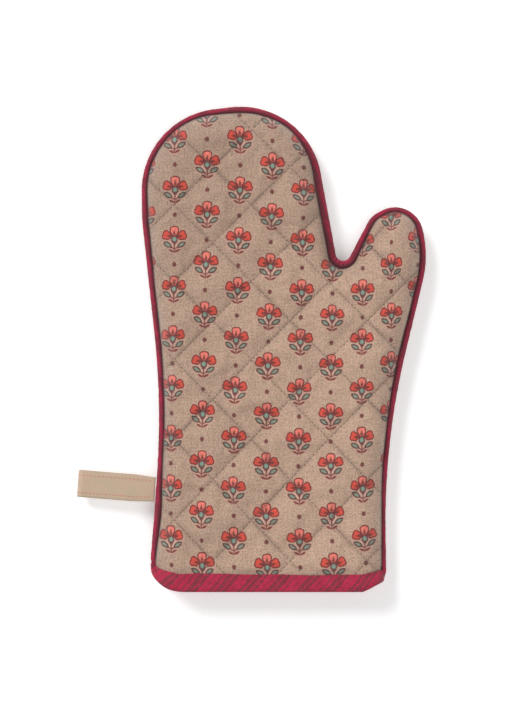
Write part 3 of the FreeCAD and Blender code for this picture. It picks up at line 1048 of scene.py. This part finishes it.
binding_cloth = striped_crimson("binding_crimson", 13.5, math.radians(42), 0.4)
binding_bm = bent_grid(binding_rounds, binding_rows, binding_place, mouth_round, profile_length)
bmesh.ops.recalc_face_normals(binding_bm, faces=binding_bm.faces)
binding = made_of_cloth(binding_bm, "cuff_binding_strip", binding_cloth, binding_thickness, -1)
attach(binding, "hand")
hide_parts("cuff_binding")


# ---- The hanging loop ----
# One beige cotton tape folded in two, its ends caught in the little-finger seam under the piping. A running
# stitch in coral thread goes along both its edges. The middle of the tape is plain.

loop_pivot = Vector(joints["loop_swing"]["pos_m"])
loop_axis = Vector(joints["loop_swing"]["axis"])
loop_out = Vector((-loop_axis.y, loop_axis.x, 0))
loop_root, loop_free = loop_pivot + loop_out * (0.5 * mm), loop_pivot + loop_out * (7 * mm)
tape_width = 17.5 * mm
tape_thickness = 0.9 * mm
tape_columns, tape_rows = 14, 120
loop_reach = 51.3 * mm
loop_gap = 6.0 * mm
loop_droop = math.radians(6)
loop_belly = 1.1 * mm
root_height = tape_thickness * 0.55
root_pinch, pinched_length = 0.09, 14 * mm
tape_cup = 0.25 * mm
fold_turn = loop_gap / 2 + tape_thickness / 2
leg_length = loop_reach - fold_turn - tape_thickness / 2
tape_length = 2 * leg_length + math.pi * fold_turn


def tape_line(v):
    """How far out of the seam and above the pivot the tape is at that share."""
    run = v * tape_length
    angle = (run - leg_length) / fold_turn
    if 0 <= angle < math.pi:
        out, up = leg_length + fold_turn * math.sin(angle), fold_turn * math.cos(angle)
    else:
        t = min(run, tape_length - run) / leg_length
        out, up = leg_length * t, root_height + (fold_turn - root_height) * t ** 0.8
        if v < 0.5:
            up += loop_belly * math.sin(math.pi * t) * (1 - t)
        else:
            up = -up
    c, s = math.cos(loop_droop), math.sin(loop_droop)
    return out * c + up * s, up * c - out * s


def tape_place(u, v):
    """A point of the tape's middle surface: u across it, v along it."""
    out, up = tape_line(v)
    aside = (u - 0.5) * tape_width * (1 - root_pinch * (1 - eased(out, 0, pinched_length)))
    cup = tape_cup * (2 * u - 1) ** 2 * (1 if v < 0.5 else -1)
    return loop_pivot + loop_out * out + loop_axis * aside + Vector((0, 0, up - cup))


def beige_tape():
    """Cotton tape in a fine herringbone weave."""
    look, start, shader = finish("beige_tape", roughness=0.88, sheen_weight=0.2, sheen_roughness=0.6)
    beige, greyer_beige = srgb(205, 176, 152), srgb(188, 172, 142)
    bone_width, rib_pitch = 2.2, 0.75
    flat = start.node("UVMap", {}, uv_map="cloth")
    x, y = flat.coordinates()
    rib = ((x / bone_width).past_whole().size() * bone_width + y).wave(1 / rib_pitch)
    yarns = flat.grain(0.4, 2.4, detail=3) + flat.grain(2.4, 0.3, detail=3, shift=6.0)
    colour = (0.80 + yarns * 0.16 + rib * 0.02).tint(beige)
    patches = flat.grain(0.12, 0.12, detail=2, shift=3.0).fade(0.35, 0.7) * 0.5
    colour = patches.over(colour, greyer_beige)
    connect(shader, base_color=colour, normal=bumped(rib * 0.5 + yarns, 0.13 * mm))
    return look


tape_bm = bent_grid(tape_columns, tape_rows, tape_place, tape_width, tape_length)
tape = made_of_cloth(tape_bm, "hanging_loop_tape", beige_tape(), tape_thickness, 0)
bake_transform(tape)
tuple(loop_root)
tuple(loop_free)
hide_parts("hanging_loop")


# ---- The threads ----
# Brown thread quilts the linen along the diamonds, crimson thread holds the binding, and coral thread runs
# along the tape. Each stitch is a short plump thread that dips into the cloth at its ends.

quilting_stitch, quilting_pitch, quilting_radius = 1.7 * mm, 2.8 * mm, 0.24 * mm
quilting_lift = 0.02 * mm
quilting_inset, quilting_clearance = 3.6 * mm, 1 * mm
far_above = 100 * mm
binding_pitch, binding_radius = 2.6 * mm, 0.2 * mm
binding_stitch_lift = 0.05 * mm
coral_pitch, coral_radius = 2.55 * mm, 0.3 * mm
coral_inset = 3.0 * mm / tape_width
coral_lift = 0.52 * tape_thickness
nearby = 0.002
# Where each stitch begins and ends, as parts of its pitch.
binding_parts, coral_parts = (0.12, 0.78), (0.04, 0.70)

# The quilting's lines by number, and where the needle may stop along each, in counts of the lattice.
lattice_lines = range(-10, 13, 2)
needle_stops = [7.2 - k * 0.0157 for k in range(900)]


def thread(name, colour):
    """Cotton thread of one colour, twisted."""
    look, start, shader = finish(name, roughness=0.7, sheen_weight=0.3)
    place = start.node("TexCoord", {}, output="Object")
    values = {"Vector": place, "Scale": 2500.0, "Detail": 1.0}
    twist = start.node("TexNoise", values, noise_dimensions="3D")
    connect(shader, base_color=(0.75 + twist * 0.5).tint(colour))
    return look


def add_stitch(bm, start, end, radius, up):
    """One stitch from start to end: a six-sided spindle of 24 faces."""
    way = (end - start).normalized()
    side = way.cross(up).normalized()
    turn = Matrix((side, side.cross(way), way)).transposed().to_4x4()
    size = Matrix.Diagonal((radius, radius * 0.8, (end - start).length / 2, 1))
    place = Matrix.Translation((start + end) / 2)
    bmesh.ops.create_uvsphere(bm, u_segments=6, v_segments=4, radius=1, matrix=place @ turn @ size)


def quilted_at(x, y):
    """Whether the quilting is sewn there: inside the seam, above the binding."""
    nearest = outline_tree.find((x, y, 0))[1]
    outside = (Vector((x, y)) - outline[nearest]).dot(outwards[nearest]) > 0
    above_binding = y - mouth_edge(x) - binding_width
    return not outside and from_seam(x, y)[0] >= quilting_inset and above_binding >= quilting_clearance


brown_thread = thread("brown_thread", srgb(108, 82, 64))
for side_name, side in (("palm", 1), ("back", -1)):
    panel = panels[side_name]
    surface = BVHTree.FromPolygons([v.co for v in panel.vertices], [p.vertices for p in panel.polygons])
    parts = [bmesh.new() for _ in regions]
    for slant in (1, -1):
        run = Vector((-slant * diamond_width, diamond_height)).normalized() * quilting_stitch / 2
        for line in lattice_lines:
            last = None
            for j in needle_stops:
                # Along a line of the lattice i + slant * j is constant, and j runs with the thread.
                x, y = place_of(line - slant * j, j)
                if last and math.hypot(x - last[0], y - last[1]) < quilting_pitch:
                    continue
                if not quilted_at(x, y):
                    continue
                last = (x, y)
                ends = []
                for sign in (-1, 1):
                    above = Vector((x + sign * run.x, y + sign * run.y, far_above * side))
                    hit, normal, _, _ = surface.ray_cast(above, Vector((0, 0, -side)))
                    ends.append(hit + normal * quilting_lift)
                add_stitch(parts[region_at(x, y)], *ends, quilting_radius, Vector((0, 0, side)))
    for part, body in zip(parts, regions):
        piece = made_of(part, f"{body}_{side_name}_quilting_thread", brown_thread)
        carried_by(piece, body)

binding_stitches = bmesh.new()
count = round(mouth_round / binding_pitch)
for k in range(count):
    ends = []
    for part in binding_parts:
        u = (k + part) / count
        x, z, out = on_ring(u)
        above = Vector((out.x, 0, out.y))
        ends.append(binding_place(u, stitch_row / profile_length) + above * binding_stitch_lift)
    add_stitch(binding_stitches, *ends, binding_radius, above)
piece = made_of(binding_stitches, "binding_thread", thread("crimson_thread", srgb(150, 30, 62)))
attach(piece, "hand")

tape_stitches = bmesh.new()
count = round(tape_length / coral_pitch)
for edge in (coral_inset, 1 - coral_inset):
    for k in range(1, count - 1):
        ends = []
        for part in coral_parts:
            v = (k + part) / count
            along = tape_place(edge, v + nearby) - tape_place(edge, v - nearby)
            above = loop_axis.cross(along.normalized())
            ends.append(tape_place(edge, v) + above * coral_lift)
        add_stitch(tape_stitches, *ends, coral_radius, above)
piece = made_of(tape_stitches, "loop_thread", thread("coral_thread", srgb(206, 112, 104)))
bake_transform(piece)
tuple(loop_root)
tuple(loop_free)
